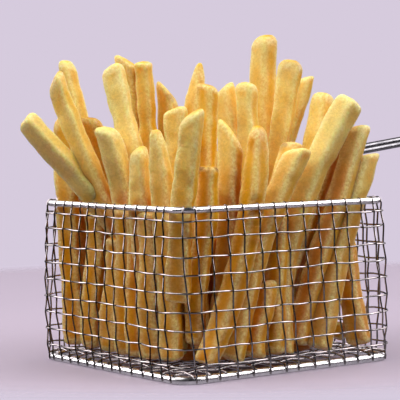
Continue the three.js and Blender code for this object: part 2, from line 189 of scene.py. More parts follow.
def add_bump(nodes, shader, height, strength, distance):
    """Raises the shader's surface by a height pattern."""
    raised = nodes.new("ShaderNodeBump")
    set_up(raised, {"Height": height, "Strength": strength, "Distance": distance})
    feed(raised.outputs["Normal"], shader.inputs["Normal"])


def steel(name, bright, dark, smoothest, roughest, per_metre, bump):
    """A metal whose colour and roughness drift from patch to patch."""
    material, nodes, shader = new_material(name)
    place = nodes.new("ShaderNodeTexCoord").outputs["Object"]
    patches = add_noise(nodes, place, per_metre, detail=4.0)
    colour = mix_colours(nodes, remap(nodes, patches, 0.35, 0.65), dark, bright)
    rough = remap(nodes, patches, 0.3, 0.7, roughest, smoothest)
    set_up(shader, {"Base Color": colour, "Roughness": rough, "Metallic": 1.0})
    marks = add_noise(nodes, place, per_metre * MARKS_PER_PATCH, detail=2.0)
    add_bump(nodes, shader, marks, bump, MARK_DEPTH)
    return material


ROD_STEEL = steel("polished_steel_rod", bright=(0.8, 0.79, 0.8, 1), dark=(0.62, 0.61, 0.63, 1),
                  smoothest=0.18, roughest=0.32, per_metre=250.0, bump=0.15)
WIRE_STEEL = steel("plated_mesh_wire", bright=(0.38, 0.35, 0.35, 1), dark=(0.22, 0.2, 0.2, 1),
                   smoothest=0.08, roughest=0.14, per_metre=400.0, bump=0.06)
# The handle's darker base colour is painted shade.
SHADED_HANDLE_STEEL = steel("handle_rod_painted_shade", bright=(0.22, 0.22, 0.23, 1), dark=(0.14, 0.14, 0.15, 1),
                     smoothest=0.2, roughest=0.3, per_metre=250.0, bump=0.15)
print("steel finishes:", ROD_STEEL.name, WIRE_STEEL.name, SHADED_HANDLE_STEEL.name)

# %% [markdown]
# ## The basket's walls as one wrapped surface
#
# Rods, hoops and upright wires all follow one line: a rectangle with round corners that grows a
# little from rim to foot. One function gives a point on it from three numbers: the way round, the
# height above the base rod and the distance outwards. Adding to them bends the whole mesh.

# %% Basket measures
# Lengths and widths are taken between the rods' centre lines.
RIM_LENGTH, RIM_WIDTH = 98.5, 96.0
BASE_LENGTH, BASE_WIDTH = 101.5, 95.5
BASE_SHIFT_X = 1.0
WALL_HEIGHT, CORNER_RADIUS = 62.0, 7.0
RIM_ROD, BASE_ROD, WIRE = 2.6, 3.2, 0.7
BASE_LEVEL = BASE_ROD / 2
RIM_LEVEL = BASE_LEVEL + WALL_HEIGHT

STRAIGHT_X = RIM_LENGTH - 2 * CORNER_RADIUS
STRAIGHT_Y = RIM_WIDTH - 2 * CORNER_RADIUS
STRAIGHTS = [STRAIGHT_X, STRAIGHT_Y] * 2
CORNER_ARC = CORNER_RADIUS * math.pi / 2
ROUND_TRIP = 2 * (STRAIGHT_X + STRAIGHT_Y) + 4 * CORNER_ARC
STARTS = [sum(STRAIGHTS[:side]) + side * CORNER_ARC for side in range(4)]
print("way round the rim:", round(ROUND_TRIP, 1), "mm")


# %% Wall surface
def lerp(low, high, share):
    return low + (high - low) * share


def clamp(value, low, high):
    return max(low, min(high, value))


def smooth(low, high, value):
    """0 below low, 1 above high and an S-shaped slope between."""
    share = clamp((value - low) / (high - low), 0.0, 1.0)
    return share * share * (3 - 2 * share)


def wander(seed, where, cell, reach):
    """A smooth random number, about -reach to reach, that changes over one cell's length."""
    return 2 * reach * noise.noise(Vector((where / cell, seed * 7.31, 3.7)))


def section_at(height):
    """Length, width and sideways shift of the wall's centre line at a height above the base rod."""
    share = height / WALL_HEIGHT
    return (lerp(BASE_LENGTH, RIM_LENGTH, share), lerp(BASE_WIDTH, RIM_WIDTH, share),
            lerp(BASE_SHIFT_X, 0.0, share))


def wall_point(way, height, outwards, rise=None):
    """A point on the wall. The way round starts at the front wall's left end."""
    way = way % ROUND_TRIP
    side = max(i for i in range(4) if way >= STARTS[i])
    straight, along = STRAIGHTS[side], way - STARTS[side]
    turn = clamp((along - straight) / CORNER_ARC, 0.0, 1.0) * math.pi / 2
    along = min(along, straight)
    half_x, half_y = STRAIGHT_X / 2, STRAIGHT_Y / 2
    corner = [(-half_x, -half_y), (half_x, -half_y), (half_x, half_y), (-half_x, half_y)][side]
    ahead_x, ahead_y = [(1, 0), (0, 1), (-1, 0), (0, -1)][side]
    angle = side * math.pi / 2 - math.pi / 2 + turn
    normal_x, normal_y = math.cos(angle), math.sin(angle)
    x = corner[0] + ahead_x * along + CORNER_RADIUS * normal_x
    y = corner[1] + ahead_y * along + CORNER_RADIUS * normal_y
    length, width, shift = section_at(height)
    level = BASE_LEVEL + height if rise is None else rise
    return (x * length / RIM_LENGTH + normal_x * outwards + shift,
            y * width / RIM_WIDTH + normal_y * outwards, level)


print("front wall's middle:", [round(c, 2) for c in wall_point(STRAIGHT_X / 2, WALL_HEIGHT, 0)])

# %% [markdown]
# ## Wires and rods as curves
#
# A wire has the same round section all along, so it is made as a curve with a round bevel, and the
# script only has to say where it goes. Each piece is one curve object with one spline per wire. The
# points are close together wherever a wire bends.


# %% Curve helper
WIRE_ROUNDNESS, ROD_ROUNDNESS = 2, 6


def new_piece(name, data, material):
    """A piece of the object, which rides on its one body."""
    data.materials.append(material)
    piece = new_object(name, data)
    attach(piece, "root")
    return piece


def wire_piece(name, wires, diameter, material, closed=False, roundness=WIRE_ROUNDNESS):
    """One curve object from lists of points in millimetres. Open ends are capped."""
    data = bpy.data.curves.new(name, "CURVE")
    data.dimensions = "3D"
    data.bevel_depth = diameter / 2 * MM
    data.bevel_resolution = roundness
    data.use_fill_caps = not closed
    for points in wires:
        spline = data.splines.new("POLY")
        spline.points.add(len(points) - 1)
        spline.use_cyclic_u = closed
        spline.use_smooth = True
        flat = [c for x, y, z in points for c in ((x + BASKET_X) * MM, y * MM, z * MM, 1.0)]
        spline.points.foreach_set("co", flat)
    return new_piece(name, data, material)


print("a wire of", WIRE, "mm has", 4 * (WIRE_ROUNDNESS + 1), "sides")

# %% [markdown]
# ## Rim rod, base rod and handle
#
# The rim and the base are each one rod bent round and welded shut. The handle is one long rod too:
# its two ends stand against the wall, it bends over the rim, runs out and comes round in a half
# circle. Weld beads hold its legs: small blobs of metal, made as stretched and dented spheres.


# %% Rim and base rods
STRAIGHT_STEPS, ARC_STEPS = 16, 12
ROD_WAVE, ROD_UNEVEN = 40.0, 0.12


def rod_loop(height):
    """Once round the basket at one height, not perfectly straight."""
    ways = []
    for start, straight in zip(STARTS, STRAIGHTS):
        ways += [start + straight * i / STRAIGHT_STEPS for i in range(STRAIGHT_STEPS)]
        ways += [start + straight + CORNER_ARC * i / ARC_STEPS for i in range(ARC_STEPS)]
    return [wall_point(way, height, wander(height, way, ROD_WAVE, ROD_UNEVEN)) for way in ways]


rim_rod = wire_piece("rod_rim", [rod_loop(WALL_HEIGHT)], RIM_ROD, ROD_STEEL, True, ROD_ROUNDNESS)
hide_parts("rim_rod")
base_rod = wire_piece("rod_base", [rod_loop(0.0)], BASE_ROD, ROD_STEEL, True, ROD_ROUNDNESS)
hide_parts("base_rod")
print("rods:", rim_rod.name, base_rod.name)

# %% Handle measures
HANDLE_ROD, HANDLE_HALF, HANDLE_REACH = 2.6, 7.3, 86.0
HANDLE_SLOPE = math.radians(6.8)
HANDLE_RISE, HANDLE_BEND, HANDLE_LEG = 16.0, 10.0, 30.0
UPRIGHT_OFFSET, LEG_GAP = 2.25, 0.5
LEG_STEPS, BEND_STEPS, RUN_STEPS, END_STEPS = 6, 16, 10, 12

leg_x = RIM_LENGTH / 2 + UPRIGHT_OFFSET + WIRE / 2 + LEG_GAP + HANDLE_ROD / 2
foot_length, _, foot_shift = section_at(WALL_HEIGHT - HANDLE_LEG)
leg_foot = Vector((leg_x + (foot_length - RIM_LENGTH) / 2 + foot_shift, 0, RIM_LEVEL - HANDLE_LEG))
leg_turn = Vector((leg_x, 0, RIM_LEVEL + HANDLE_RISE))
leg_up = (leg_turn - leg_foot).normalized()
run_out = Vector((math.cos(HANDLE_SLOPE), 0, math.sin(HANDLE_SLOPE)))
bend_start = leg_turn - leg_up * HANDLE_BEND
bend_end = leg_turn + run_out * HANDLE_BEND
far_end = leg_turn + run_out * (HANDLE_REACH - HANDLE_HALF)
print("the handle's legs stand at x =", round(leg_x, 2), "mm")

# %% Handle
near_half = [leg_foot.lerp(bend_start, i / LEG_STEPS) for i in range(LEG_STEPS)]
for i in range(BEND_STEPS):
    share = i / BEND_STEPS
    near_half.append((1 - share) ** 2 * bend_start + 2 * share * (1 - share) * leg_turn
                     + share ** 2 * bend_end)
near_half += [bend_end.lerp(far_end, i / RUN_STEPS) for i in range(RUN_STEPS)]
near_half = [p - Vector((0, HANDLE_HALF, 0)) for p in near_half]
for i in range(END_STEPS + 1):
    angle = i / END_STEPS * math.pi / 2
    near_half.append(far_end + run_out * HANDLE_HALF * math.sin(angle)
                     - Vector((0, HANDLE_HALF * math.cos(angle), 0)))
far_half = [Vector((p.x, -p.y, p.z)) for p in reversed(near_half[:-1])]
whole_rod = near_half + far_half
handle = wire_piece("handle_rod", [whole_rod], HANDLE_ROD, SHADED_HANDLE_STEEL, roundness=ROD_ROUNDNESS)
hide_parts("handle")
print("handle rod:", len(whole_rod), "points")


# %% Mesh helper
def mesh_piece(name, bm, material):
    """Turns a bmesh in millimetres into an object in the model's frame."""
    bmesh.ops.scale(bm, vec=(MM, MM, MM), verts=bm.verts)
    bmesh.ops.translate(bm, vec=(BASKET_X * MM, 0, 0), verts=bm.verts)
    bmesh.ops.recalc_face_normals(bm, faces=bm.faces)
    for face in bm.faces:
        face.smooth = True
    data = bpy.data.meshes.new(name)
    bm.to_mesh(data)
    bm.free()
    return new_piece(name, data, material)


print("meshes move by", round(BASKET_X, 3), "mm into the model's frame")

# %% Weld beads
BEAD_LEVELS = (RIM_LEVEL, RIM_LEVEL - 8.6, RIM_LEVEL - 28.0)
RIM_BEAD, WIRE_BEAD = (1.5, 2.0, 1.4), (1.5, 1.3, 1.0)
BEAD_INWARDS, DENTS = 1.5, 0.22


def add_bead(bm, centre, size, seed):
    """Weld metal: a sphere stretched to size (x, y, z) and dented all over."""
    made = bmesh.ops.create_uvsphere(bm, u_segments=16, v_segments=12, radius=1.0)["verts"]
    for vert in made:
        dent = 1 + DENTS * noise.noise(vert.co * 1.6 + Vector((seed, 0, 0)))
        vert.co = Vector(centre) + Vector([vert.co[i] * size[i] * dent for i in range(3)])


beads = bmesh.new()
for sign in (-1, 1):
    for i, level in enumerate(BEAD_LEVELS):
        share = (level - leg_foot.z) / (leg_turn.z - leg_foot.z)
        middle = leg_foot.lerp(leg_turn, share)
        centre = (middle.x - BEAD_INWARDS, sign * HANDLE_HALF, level)
        add_bead(beads, centre, RIM_BEAD if i == 0 else WIRE_BEAD, 5.1 * i + sign)
weld_beads = mesh_piece("weld_beads", beads, ROD_STEEL)
print("weld beads:", len(weld_beads.data.polygons), "faces")

# %% [markdown]
# ## Woven wire mesh
#
# The walls are plain weave: each wire passes over one neighbour and under the next. Uprights and
# hoops swing to opposite sides of a middle surface by half a wire, and change sides from one
# crossing to the next. The mesh is bent by hand: its middle bulges out a little, no wire is quite
# straight and all uprights lean by a few millimetres. Each upright ends in a hook over the rim rod
# and a tail beside the base rod.

# %% Places of the uprights
FRONT_PITCH, FRONT_WIRES = 7.197, 13
SIDE_PITCH, SIDE_WIRES = 6.381, 14
HOOP_HEIGHTS = (5.0, 11.5, 18.0, 24.7, 31.7, 38.5, 45.0, 52.0, 58.0)
SWING, SUNK = 0.36, 0.25

# The places that show are uneven, as bent by hand. The other two walls have the plain pitch.
FRONT_PLACES = (-43.8, -37.8, -29.9, -22.7, -15.1, -7.4, -1.7, 6.3, 13.6, 20.7, 27.6, 35.2, 41.8)
LEFT_PLACES = (43, 37.1, 30.7, 24.9, 18.3, 13.1, 7.2, 0.7, -5.1, -12.8, -20.2, -26.7, -33, -38.1)


def even_places(count, pitch):
    return [pitch * (k - (count - 1) / 2) for k in range(count)]


ways = {
    "front": [STRAIGHT_X / 2 + x for x in FRONT_PLACES],
    "handle_side": [STARTS[1] + STRAIGHT_Y / 2 + y for y in even_places(SIDE_WIRES, SIDE_PITCH)],
    "back": [STARTS[2] + STRAIGHT_X / 2 + x for x in even_places(FRONT_WIRES, FRONT_PITCH)],
    "left": [STARTS[3] + STRAIGHT_Y / 2 - y for y in LEFT_PLACES],
    "corners": [start - CORNER_ARC / 2 for start in (*STARTS[1:], ROUND_TRIP)],
}
uprights = sorted((way, side) for side, places in ways.items() for way in places)
print(len(uprights), "uprights, an even number, so the weave closes on itself")


# %% Weave
FLANKS, WAVE_STEPS = 0.97, 4
OUT_AT_BASE, OUT_AT_RIM, BULGE = 1.95, 1.65, 0.8
MESH_LEAN = 3.8
UPRIGHT_WAVE, UPRIGHT_UNEVEN, HOOP_UNEVEN = 24.0, 0.22, 0.6


def weave(phase):
    """A wave with straight flanks and rounded crests, from -1 to 1."""
    return math.asin(FLANKS * math.cos(phase)) / math.asin(FLANKS)


def middle_out(height):
    """How far outside the rods' centre line the middle of the mesh lies."""
    share = height / WALL_HEIGHT
    bulge = BULGE * math.sin(math.pi * clamp(share, 0, 1))
    return lerp(OUT_AT_BASE, OUT_AT_RIM, share) - SUNK + bulge


def upright_way(index, height):
    """The way round to an upright at a height. All of them lean more towards the foot."""
    lean = MESH_LEAN * (1 - clamp(height / WALL_HEIGHT, 0, 1)) ** 2
    return uprights[index][0] + lean + wander(index, height, UPRIGHT_WAVE, UPRIGHT_UNEVEN)


def hoop_height(index, way):
    """A hoop's height, which wanders a little round the basket."""
    angle = 2 * math.pi * way / ROUND_TRIP
    ring = Vector((6 * math.cos(angle), 6 * math.sin(angle), index * 5.3))
    return HOOP_HEIGHTS[index] + HOOP_UNEVEN * noise.noise(ring)


print("the mesh bulges to", round(middle_out(WALL_HEIGHT / 2), 2), "mm")

# %% Upright wires
TAIL_DEGREES = (-34, -22, -10)
HOOK_STEP, HOOK_END, LEFT_HOOK_END = 20, 225, 60
TAIL_RADIUS = BASE_ROD / 2 + WIRE / 2 - SUNK
HOOK_RADIUS = RIM_ROD / 2 + WIRE / 2 - 1.5 * SUNK
END_ROOM = 3.0


def bent_round(index, height, level, radius, degrees):
    """A point of an upright where it bends round one of the rods."""
    angle = math.radians(degrees)
    return wall_point(upright_way(index, height), height, radius * math.cos(angle),
                      level + radius * math.sin(angle))


def upright_points(index):
    """A tail at the base rod, the way up past every hoop and a hook over the rim rod."""
    points = [bent_round(index, 0, BASE_LEVEL, TAIL_RADIUS, degrees) for degrees in TAIL_DEGREES]
    knots = [0.0, *HOOP_HEIGHTS, WALL_HEIGHT]
    for i in range(WAVE_STEPS * (len(knots) - 1) + 1):
        below, share = divmod(i / WAVE_STEPS, 1)
        height = lerp(knots[int(below)], knots[min(int(below) + 1, len(knots) - 1)], share)
        ease = min(1.0, height / END_ROOM, (WALL_HEIGHT - height) / END_ROOM)
        swing = (-1) ** (index + 1) * SWING * ease * weave(math.pi * i / WAVE_STEPS)
        points.append(wall_point(upright_way(index, height), height, middle_out(height) + swing))
    last = LEFT_HOOK_END if uprights[index][1] == "left" else HOOK_END
    points += [bent_round(index, WALL_HEIGHT, RIM_LEVEL, HOOK_RADIUS, degrees)
               for degrees in range(HOOK_STEP, last + 1, HOOK_STEP)]
    return points


print("an upright has", len(upright_points(0)), "points")


# %% Hoop wires
def hoop_points(index):
    """Once round the basket, passing each upright on the other side."""
    height = HOOP_HEIGHTS[index]
    crossings = [upright_way(k, height) for k in range(len(uprights))]
    crossings.append(crossings[0] + ROUND_TRIP)
    points = []
    for k in range(len(uprights)):
        for i in range(WAVE_STEPS):
            way = lerp(crossings[k], crossings[k + 1], i / WAVE_STEPS)
            swing = (-1) ** (index + k + 1) * SWING * weave(math.pi * i / WAVE_STEPS)
            level = hoop_height(index, way)
            points.append(wall_point(way, level, middle_out(level) + swing))
    return points


print("a hoop has", len(hoop_points(0)), "points")

# %% Walls
CAD_WALLS = {side: [f"wall_{side}"] for side in ("front", "handle_side", "back", "left")}
CAD_WALLS["corners"] = [f"corner_wire_{a}_{b}" for a in ("front", "back")
                        for b in ("left", "right")]
for side, solids in CAD_WALLS.items():
    members = [upright_points(k) for k, (_, where) in enumerate(uprights) if where == side]
    piece = wire_piece(f"uprights_{side}", members, WIRE, WIRE_STEEL)
    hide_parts(*solids)
all_hoops = [hoop_points(i) for i in range(len(HOOP_HEIGHTS))]
hoops = wire_piece("hoops", all_hoops, WIRE, WIRE_STEEL, closed=True)
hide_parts(*[f"hoop_wire_{i + 1}" for i in range(len(HOOP_HEIGHTS))])
print("hoops at", [round(BASE_LEVEL + height, 1) for height in HOOP_HEIGHTS], "mm")

# %% [markdown]
# ## Floor mesh
#
# The same weave lies flat across the base rod. Its wires rest on the rod's top and their ends curl
# down its outside.

# %% Floor wires
FLOOR_PITCH = 7.2
FLOOR_MIDDLE = BASE_ROD + WIRE / 2 + SWING
CURL_RADIUS = BASE_ROD / 2 + WIRE / 2
CURL_DEGREES = (40, 58, 76)
FLOOR_END_ROOM = 4.0
FLOOR_WAVE, FLOOR_UNEVEN = 25.0, 0.5


def floor_wires(count, others, span, across_x, parity):
    """Parallel wires. Each one swings up and down past those that cross it."""
    half = span / 2
    first = -(others - 1) / 2 * FLOOR_PITCH
    curl = [(-half - CURL_RADIUS * math.cos(angle), BASE_LEVEL + CURL_RADIUS * math.sin(angle))
            for angle in map(math.radians, CURL_DEGREES)]
    wires = []
    for k, place in enumerate(even_places(count, FLOOR_PITCH)):
        profile = list(curl)
        steps = WAVE_STEPS * others
        for i in range(steps + 1):
            along = lerp(-half, half, i / steps)
            ease = min(1.0, (half - abs(along)) / FLOOR_END_ROOM)
            phase = math.pi * ((along - first) / FLOOR_PITCH + k + parity)
            level = FLOOR_MIDDLE - (1 - ease) * SWING + SWING * ease * math.cos(phase)
            profile.append((along, level))
        profile += [(-along, level) for along, level in reversed(curl)]
        points = []
        for along, level in profile:
            drift = place + wander(k + 31 * parity, along, FLOOR_WAVE, FLOOR_UNEVEN)
            x, y = (along, drift) if across_x else (drift, along)
            points.append((x + BASE_SHIFT_X, y, level))
        wires.append(points)
    return wires


lower_wires = floor_wires(SIDE_WIRES, FRONT_WIRES, BASE_WIDTH, False, 0)
floor_lower = wire_piece("floor_wires_front_to_back", lower_wires, WIRE, WIRE_STEEL)
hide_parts("floor_wires_lower")
upper_wires = floor_wires(FRONT_WIRES, SIDE_WIRES, BASE_LENGTH, True, 1)
floor_upper = wire_piece("floor_wires_side_to_side", upper_wires, WIRE, WIRE_STEEL)
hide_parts("floor_wires_upper")
print("floor mesh's middle at", round(FLOOR_MIDDLE, 2), "mm")

# %% [markdown]
# ## Where the fries stand
#
# The fries are laid out in ranks: across is to the right and deep is away, seen from the basket's
# front corner. Each row gives a fry's tip and foot, its width, its bow, its cut end's slant and its
# taper, then how far it is turned about its own length, how golden and how brown it is and how
# blunt its tip is. Crossing fries push each other apart, and shorter ones fill the room that is
# left. The CAD heap follows the same rule from nearly the same rows.

# %% Rows of fries
RANK_TURN = math.radians(36.5)
FRY_FLOOR = 5.7
ROWS = [
    (-73, -24, 97.5, -10, 0, 20, 9.2, 0, 1, 0, -24, 0.15, 0, 0.5),
    (-61, 2, 86, -57, 7, 6, 8.8, 0, 0, 0, -20, 0.65, 0, 0.6),
    (-61, -6, 98, -12, 14, 8, 8.6, 0, 2, 0, -28, 0.9, 0.2, 0.6),
    (-61.5, -12, 113.5, -8, -12, 6, 8.8, -6, 3, 0, -35, 0.4, 0.3, 0.8),
    (-58.5, 6, 121, -38, 6, 6, 7.8, 0, -0.5, 0.3, -30, 0.4, 0, 0.7),
    (-49, -2, 98, -14, -2, 8, 8.6, 0, -2, 0, -25, 0.8, 0.5, 0.5),
    (-46, -9, 60, -49, -5, 6, 8.4, 0, 0, 0, -25, 0.55, 0, 0.6),
    (-41, -38, 94, -31, -34, 6, 10.6, 3.5, -1, 0.1, -28, 0, 0, 0.6),
    (-38, -20, 51, -41, -16, 6, 8, 0, 0, 0, -30, 0.5, 0, 0.6),
    (-39, -16, 118, -12, -24, 6, 9.2, 0, 1, 0, -22, 0.2, 0, 0.5),
    (-33.5, -2, 121, -25, 12, 6, 10.4, 0, -3, 0, -30, 0.5, 0.2, 0.35),
    (-28, -42, 86, -24, -38, 6, 9.2, 0, 2, 0.2, -26, 0.3, 0, 0.9),
    (-27, 10, 120, -23, 10, 6, 7.2, 0, 0, 0, -24, 0.7, 0, 0.5),
    (-21, -50, 93, -16, -49, 6, 9.2, 1, 0, 0.6, -32, 0.4, 0, 0.9),
    (-17.5, 16, 109, -13, 16, 6, 10.2, 0, -6, 0.1, -34, 0.6, 0.4, 0.4),
    (-14, -24, 101, -7, -24, 6, 9.2, 0, 1, 0, -26, 0.45, 0, 0.4),
    (-7, -58, 99, -13.5, -57, 29, 8.8, -1, 3, 0, -18, 0.5, 0, 0.6),
    (-4, 28, 120, -18, 16, 6, 8.8, 0, 0, 0.8, -28, 0.8, 0, 1),
    (-2, -46, 79, -7, -46, 12, 8.2, 0, 0, 0, -24, 1.1, 0.6, 0.3),
    (-1, -14, 110, -6, -20, 6, 8.5, 0, -1, 0, -30, 0.95, 0, 0.4),
    (7, -42, 93, 2, -45, 6, 9.2, 1, -5, 0, -26, 0.5, 0, 0.8),
    (5, 8, 109, 17, -6, 6, 9.8, 0, 3, 0, -32, 0.45, 0, 0.5),
    (14, -4, 111, 13, -4, 6, 8.3, 0, 0, 0, -26, 0.45, 0, 0.8),
    # This fry stands in shade, and its raised tone is painted shade.
    (18, -34, 93.5, -4, -51, 6, 9.4, 4.5, 0, 0.4, -38, 1.3, 0, 0.8),
    (23, 20, 131, 16, 20, 8, 10, 0, 1, 0, -30, 0.6, 0, 0.9),
    (33, 6, 120, 11, 0, 6, 9.2, 0, 0, 0, -22, 0.5, 0.2, 0.8),
    (34, -26, 84.5, 6, -45, 6, 10, -3.5, 1.5, 0, -28, 0.35, 0, 0.45),
    (32, -12, 87, -1, -20, 6, 9, 0, 1, 0, -30, 0.65, 0.5, 0.4),
    (39, 22, 113, 3, 12, 6, 8.4, 0, 2.5, 0, -26, 0.5, 0, 0.3),
    (46, 2, 106.5, 26, -6, 6, 9.4, 0, 0, 0, -30, 0.45, 0, 0.8),
    (55.5, -10, 103.5, 27, -30, 6, 10.3, -9, -1.5, 0, -24, 0.1, 0, 0.55),
    (54, -6, 102, 19, -18, 8, 9.2, 0, 0, 0, -30, 0.55, 0, 0.6),
    (58, -12, 93, 32, -14, 8, 9.2, 0, 2, 0, -28, 0.2, 0, 0.5),
    (65, -8, 81.5, 41, -19, 6, 11.2, -1.7, 2.5, 0, -36, 0.15, 0, 0.35),
    (50, -2, 60, 62, -5, 6, 9, 0, 0, 0, -30, 0.5, 0, 0.6),
    (48, -12, 12, 50, 14, 10.5, 8.6, 0, 0, 0, -20, 0.5, 0.2, 0.6),
    (37, -4, 11, 24, 34, 10, 8.4, 0, 0, 0, -30, 0.6, 0.4, 0.5),
]


def new_fry(row):
    """A row of numbers as a fry with named measures."""
    names = ("width", "bow", "slant", "taper", "turn", "tone", "brown", "blunt")
    return dict(zip(names, row[6:]), tip=list(row[:3]), foot=list(row[3:6]))


print(len(ROWS), "fries are laid out one by one")

# %% Room for a fry
TURN_COS, TURN_SIN = math.cos(RANK_TURN), math.sin(RANK_TURN)
WALL_GAP = 0.5


def from_ranks(across, deep):
    return across * TURN_COS + deep * TURN_SIN, -across * TURN_SIN + deep * TURN_COS


def to_ranks(x, y):
    return x * TURN_COS - y * TURN_SIN, x * TURN_SIN + y * TURN_COS


def inside_walls(point, width):
    """Moves a point in ranks to where a fry of this width stands clear of the walls."""
    margin = BASE_ROD / 2 + WALL_GAP + 0.55 * width
    limit_x, limit_y = RIM_LENGTH / 2 - margin, RIM_WIDTH / 2 - margin
    reach = limit_x * TURN_COS + limit_y * TURN_SIN
    across = clamp(point[0], -reach, reach)
    x, y = across * TURN_COS, across * TURN_SIN
    near = max((-limit_x - x) / TURN_SIN, (-limit_y + y) / TURN_COS)
    far = min((limit_x - x) / TURN_SIN, (limit_y + y) / TURN_COS)
    point[0], point[1] = across, clamp(point[1], near, far)


def point_at(fry, share):
    foot, tip = fry["foot"], fry["tip"]
    return [foot[k] + (tip[k] - foot[k]) * share for k in range(3)]


def less(p, q):
    return [p[k] - q[k] for k in range(3)]


def dot(p, q):
    return p[0] * q[0] + p[1] * q[1] + p[2] * q[2]


def closest_shares(a, b):
    """Shares along two fries at which their centre lines are closest."""
    u, v, w = less(a["tip"], a["foot"]), less(b["tip"], b["foot"]), less(a["foot"], b["foot"])
    uu, uv, vv, uw, vw = dot(u, u), dot(u, v), dot(v, v), dot(u, w), dot(v, w)
    spread = uu * vv - uv * uv
    s = clamp((uv * vw - vv * uw) / spread, 0.0, 1.0) if spread > 1e-6 * uu * vv else 0.5
    t = clamp((uv * s + vw) / vv, 0.0, 1.0)
    return clamp((uv * t - uw) / uu, 0.0, 1.0), t


print("the ranks are turned by", round(math.degrees(RANK_TURN), 1), "degrees")

# %% Settling rule
SETTLE_ROUNDS, PUSH_DEEP, PUSH_ACROSS = 60, 0.3, 0.015


def settle(fries, fixed=0):
    """Pushes crossing fries apart and back inside the walls. The first ones may be held still."""
    for _ in range(SETTLE_ROUNDS):
        for i, a in enumerate(fries):
            for b in fries[max(i + 1, fixed):]:
                s, t = closest_shares(a, b)
                away = less(point_at(b, t), point_at(a, s))
                lack = 0.5 * (a["width"] + b["width"]) - math.hypot(*away)
                if lack <= 0:
                    continue
                deep = (-PUSH_DEEP if away[1] < 0 else PUSH_DEEP) * lack
                across = PUSH_ACROSS * lack * ((away[0] > 0) - (away[0] < 0))
                for fry, share, sign in ((b, t, 1), (a, s, -1))[:1 if i < fixed else 2]:
                    fry["foot"][0] += sign * across * (1 - share)
                    fry["foot"][1] += sign * deep * (1 - share)
                    fry["tip"][1] += sign * deep * share
        for fry in fries[fixed:]:
            foot, tip = fry["foot"], fry["tip"]
            inside_walls(foot, fry["width"])
            share = (RIM_LEVEL - foot[2]) / (tip[2] - foot[2])
            if share >= 1:
                inside_walls(tip, fry["width"])
                continue
            crossing = point_at(fry, share)
            kept = list(crossing)
            inside_walls(kept, fry["width"])
            scale = 1 / (share * share + (1 - share) * (1 - share))
            for k in (0, 1):
                move = (kept[k] - crossing[k]) * scale
                tip[k] += move * share
                foot[k] += move * (1 - share)
    return fries


shown = settle([new_fry(row) for row in ROWS])
print("the tallest fry reaches", max(f["tip"][2] for f in shown), "mm")

# %% Fillers
ATTEMPTS, SPACING = 20000, 7.2
FILLER_MARGIN, FILLER_FRONT = 7, 17
FAN, FILLER_LEAN = 0.12, 7
FILLER_HEIGHTS, FILLER_WIDTHS = (52, 86), (8, 9.6)


def draws(seed):
    """An endless row of random shares that is the same in every run."""
    state = seed
    while True:
        state = state * 16807 % 2147483647
        yield state / 2147483647


source = draws(7)


def between(low, high):
    return lerp(low, high, next(source))


fillers = []
for _ in range(ATTEMPTS):
    x = between(FILLER_FRONT - RIM_LENGTH / 2, RIM_LENGTH / 2 - FILLER_MARGIN)
    y = between(FILLER_FRONT - RIM_WIDTH / 2, RIM_WIDTH / 2 - FILLER_MARGIN)
    across, deep = to_ranks(x, y)
    lean_across = FAN * across + between(-FILLER_LEAN, FILLER_LEAN)
    lean_deep = FAN * deep + between(-FILLER_LEAN, FILLER_LEAN)
    tip = [across + lean_across, deep + lean_deep, between(*FILLER_HEIGHTS)]
    foot = [across - lean_across, deep - lean_deep, FRY_FLOOR + between(0, 4)]
    fry = {"tip": tip, "foot": foot, "width": between(*FILLER_WIDTHS), "bow": between(-1, 1),
           "slant": between(-3, 3), "taper": 0.0}
    for other in shown + fillers:
        s, t = closest_shares(fry, other)
        if math.dist(point_at(fry, s), point_at(other, t)) < SPACING:
            break
    else:
        number = len(fillers)
        fry.update(turn=(number * 37) % 90, tone=0.35 + 0.4 * ((number * 13) % 7) / 6,
                   brown=0.2 * (number % 3 == 0), blunt=0.3 + 0.1 * (number % 7))
        fillers.append(fry)
settle(shown + fillers, len(shown))
print(len(fillers), "shorter fries fill the room that is left")

# %% Short fries near the walls
EXTRAS = [
    (-29, -29, 60, -29, -33, 6, 8.6, 0, 0, 0, -25, 0.9, 0, 0.6),
    (-25, -36, 62, -24, -39, 6, 8.8, 0, 0, 0, -28, 0.4, 0, 0.6),
    (-33.5, -22, 64, -34.5, -25, 6, 8.6, 0, 0, 0, -22, 0.6, 0, 0.6),
    (19.5, -36, 34, 15, -39, 6, 8.6, 0, 2, 0, -30, 1, 0.3, 0.5),
    (25, -26, 60, 23, -30, 6, 8.6, 0, 0, 0, -26, 1, 0, 0.6),
]
extras = [new_fry(row) for row in EXTRAS]
settle(shown + fillers + extras, len(shown) + len(fillers))
fillers += extras
print(len(shown) + len(fillers), "fries in all")

# %% [markdown]
# ## One fry
#
# A french fry is a square stick with softly rounded edges. Frying shrinks it unevenly, so its faces
# are slightly hollow or swollen, it twists and bows a little and its skin is finely blistered. It
# starts as a sphere, whose rings of points are slid along the fry's length: the first and last few
# make the rounded cut ends and the rest the stick. The section is a superellipse, which lies
# between a square and a circle.

# %% Section of a fry
SQUARENESS = 5.0
DIRECTIONS = 90


def corner_reach(c, s):
    """How far the section reaches in a direction: 1 at its flats and more at its corners."""
    return (abs(c) ** SQUARENESS + abs(s) ** SQUARENESS) ** (-1 / SQUARENESS)


def widest(half_x, half_y, turn):
    """Half the width, seen along the ranks, of a section turned by some angle."""
    reach = 0.0
    for i in range(DIRECTIONS):
        angle = i * math.pi / (DIRECTIONS / 2)
        c, s = math.cos(angle), math.sin(angle)
        grow = corner_reach(c, s)
        reach = max(reach, c * grow * half_x * math.cos(turn) - s * grow * half_y * math.sin(turn))
    return reach


print("turned by 45 degrees, a fry is", round(widest(1, 1, math.pi / 4), 2), "times as wide")

# %% Limits of the basket
RIM_ZONE, RIM_ZONE_FULL = 3.5, 1.5
WALL_CLEAR, RIM_CLEAR = 0.9, 2.15
LOWEST = 4.75


